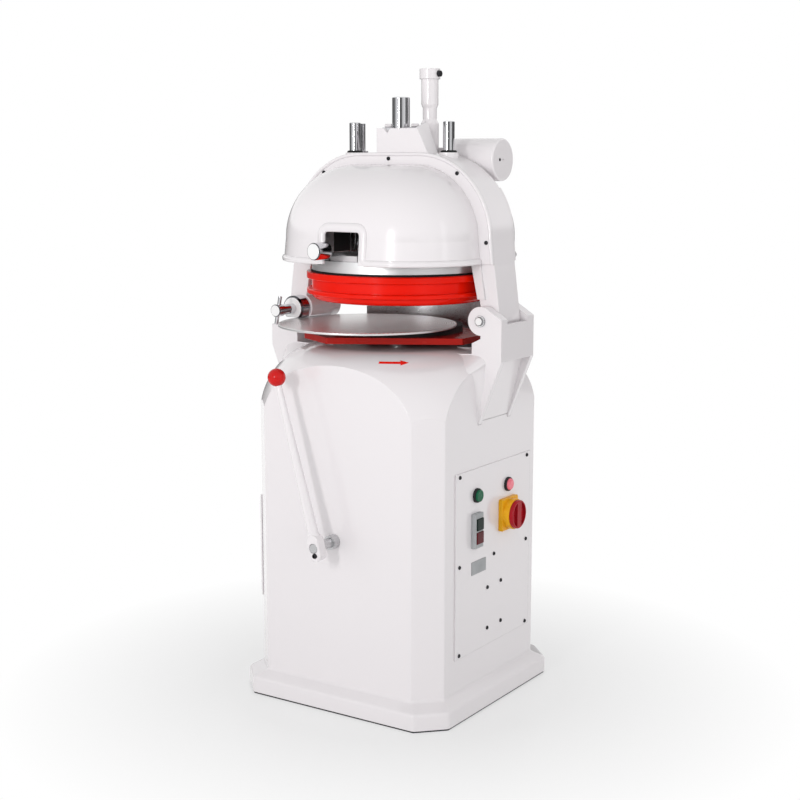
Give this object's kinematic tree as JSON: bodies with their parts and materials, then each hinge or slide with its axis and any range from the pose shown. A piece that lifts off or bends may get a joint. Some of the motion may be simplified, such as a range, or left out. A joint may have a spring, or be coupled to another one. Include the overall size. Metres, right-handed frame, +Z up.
{
  "type": "dough divider",
  "caption": "Floor-standing dough divider and rounder: white cabinet with a tilting hooded head over a round moulding plate, press lever, rounding lever and side control panel.",
  "frame": {"origin": "on the floor under the middle of the plinth", "axes": "+Z up, -Y toward the front with the rounding lever, +X toward the side with the control panel"},
  "size_m": [0.62, 0.6185, 1.438],
  "materials": {
    "white_paint": "gloss",
    "red_paint": "gloss",
    "steel": "satin",
    "dark_steel": "satin",
    "chrome": "polished",
    "plate_metal": "satin",
    "cast_grey": "matt",
    "press_alloy": "satin",
    "black_rubber": "matt",
    "black_plastic": "matt",
    "grey_plastic": "matt",
    "green_plastic": "gloss",
    "dark_green_plastic": "gloss",
    "dark_red_plastic": "gloss",
    "yellow_plastic": "gloss",
    "red_plastic": "gloss",
    "lamp_glass": "gloss"
  },
  "bodies": {
    "base": {"housing": "white_paint", "bracket_right": "white_paint", "bracket_left": "white_paint", "base_plate": "dark_steel", "side_cover": "white_paint", "rear_cover": "white_paint", "control_panel": "white_paint", "panel_screws": "dark_steel", "bezels": "black_plastic", "lamp_lens": "lamp_glass", "key_box": "grey_plastic", "switch_base": "yellow_plastic", "blank_plate": "grey_plastic", "rear_guard": "steel", "motor": "cast_grey", "belt": "black_rubber", "bearings": "cast_grey", "bridge": "cast_grey", "lever_bush": "steel", "hinge_pin": "steel"},
    "push_button": {"push_button": "green_plastic"},
    "start_key": {"start_key": "dark_green_plastic"},
    "stop_key": {"stop_key": "dark_red_plastic"},
    "switch_knob": {"switch_knob": "red_plastic"},
    "motor_pulley": {"motor_pulley": "cast_grey"},
    "main_shaft": {"main_shaft": "steel", "main_pulley": "cast_grey"},
    "table": {"table": "red_paint", "table_pad": "black_rubber"},
    "crank_1": {"crank_1": "cast_grey"},
    "crank_2": {"crank_2": "cast_grey"},
    "moulding_plate": {"moulding_plate": "plate_metal"},
    "rounding_lever": {"lever_shaft": "steel", "rounding_lever": "white_paint", "lever_ball": "red_plastic"},
    "head": {"yoke": "white_paint", "front_hood": "white_paint", "rear_hood": "white_paint", "hood_screws": "dark_steel", "stop_rod": "chrome", "pivot_shaft": "steel", "spring_housing": "white_paint", "lock_boss": "steel", "arm_plate": "white_paint"},
    "lock_screw": {"lock_screw": "chrome", "tommy_bar": "chrome"},
    "ring_unit": {"ring": "red_paint", "seal": "black_rubber", "clamp_ring": "steel", "head_plate": "cast_grey", "press_plate": "press_alloy", "guide_rod_left": "chrome", "guide_rod_right": "chrome", "reg_block": "white_paint"},
    "regulator": {"regulating_lever": "steel", "regulating_knob": "chrome"},
    "knives": {"knife_unit": "steel", "column": "chrome"},
    "press_lever": {"press_lever": "white_paint", "collar_screw": "dark_steel"}
  },
  "joints": [
    {"name": "head_tilt", "type": "hinge", "parent": "base", "child": "head", "pos_m": [0.257, 0.01, 0.885], "axis": [0, 1, 0], "range_deg": [0, 50]},
    {"name": "lock_turn", "type": "hinge", "parent": "head", "child": "lock_screw", "pos_m": [-0.257, 0.01, 0.885], "axis": [0, 1, 0], "range_deg": [0, 90]},
    {"name": "press_pull", "type": "hinge", "parent": "head", "child": "press_lever", "pos_m": [0, 0.09, 1.234], "axis": [1, 0, 0], "range_deg": [0, 35]},
    {"name": "ring_drop", "type": "slide", "parent": "head", "child": "ring_unit", "axis": [0, 0, -1], "range_m": [0, 0.052]},
    {"name": "knife_drop", "type": "slide", "parent": "ring_unit", "child": "knives", "axis": [0, 0, -1], "range_m": [0, 0.016]},
    {"name": "regulate", "type": "hinge", "parent": "ring_unit", "child": "regulator", "pos_m": [0, 0.01, 1.029], "axis": [0, 0, 1], "range_deg": [0, 14]},
    {"name": "round_swing", "type": "hinge", "parent": "base", "child": "rounding_lever", "pos_m": [-0.005, -0.3185, 0.393], "axis": [0, 1, 0], "range_deg": [0, 32]},
    {"name": "main_spin", "type": "hinge", "parent": "base", "child": "main_shaft", "pos_m": [0, 0.01, 0.6], "axis": [0, 0, 1], "continuous": true},
    {"name": "table_swing", "type": "hinge", "parent": "main_shaft", "child": "table", "pos_m": [-0.007, 0.01, 0.836], "axis": [0, 0, 1], "continuous": true},
    {"name": "crank_1_turn", "type": "hinge", "parent": "base", "child": "crank_1", "pos_m": [0.178, 0.01, 0.82], "axis": [0, 0, 1], "continuous": true},
    {"name": "crank_2_turn", "type": "hinge", "parent": "base", "child": "crank_2", "pos_m": [-0.089, 0.16415, 0.82], "axis": [0, 0, 1], "continuous": true},
    {"name": "motor_spin", "type": "hinge", "parent": "base", "child": "motor_pulley", "pos_m": [-0.13, 0.135, 0.361], "axis": [0, 0, 1], "continuous": true},
    {"name": "plate_slide", "type": "slide", "parent": "table", "child": "moulding_plate", "axis": [0.5, 0.866, 0], "range_m": [0, 0.08]},
    {"name": "switch_turn", "type": "hinge", "parent": "base", "child": "switch_knob", "pos_m": [0.28, 0.0665, 0.4285], "axis": [1, 0, 0], "range_deg": [0, 90]},
    {"name": "button_press", "type": "slide", "parent": "base", "child": "push_button", "axis": [-1, 0, 0], "range_m": [0, 0.003], "stiffness_N_per_m": 600},
    {"name": "start_press", "type": "slide", "parent": "base", "child": "start_key", "axis": [-1, 0, 0], "range_m": [0, 0.0025], "stiffness_N_per_m": 600},
    {"name": "stop_press", "type": "slide", "parent": "base", "child": "stop_key", "axis": [-1, 0, 0], "range_m": [0, 0.0025], "stiffness_N_per_m": 600}
  ],
  "couplings": [
    {"joint": "ring_drop", "follows": "press_pull", "m_per_rad": 0.08512},
    {"joint": "knife_drop", "follows": "press_pull", "m_per_rad": 0.02619},
    {"joint": "table_swing", "follows": "main_spin", "ratio": -1},
    {"joint": "crank_1_turn", "follows": "main_spin", "ratio": 1},
    {"joint": "crank_2_turn", "follows": "main_spin", "ratio": 1},
    {"joint": "motor_spin", "follows": "main_spin", "ratio": 3.125}
  ]
}
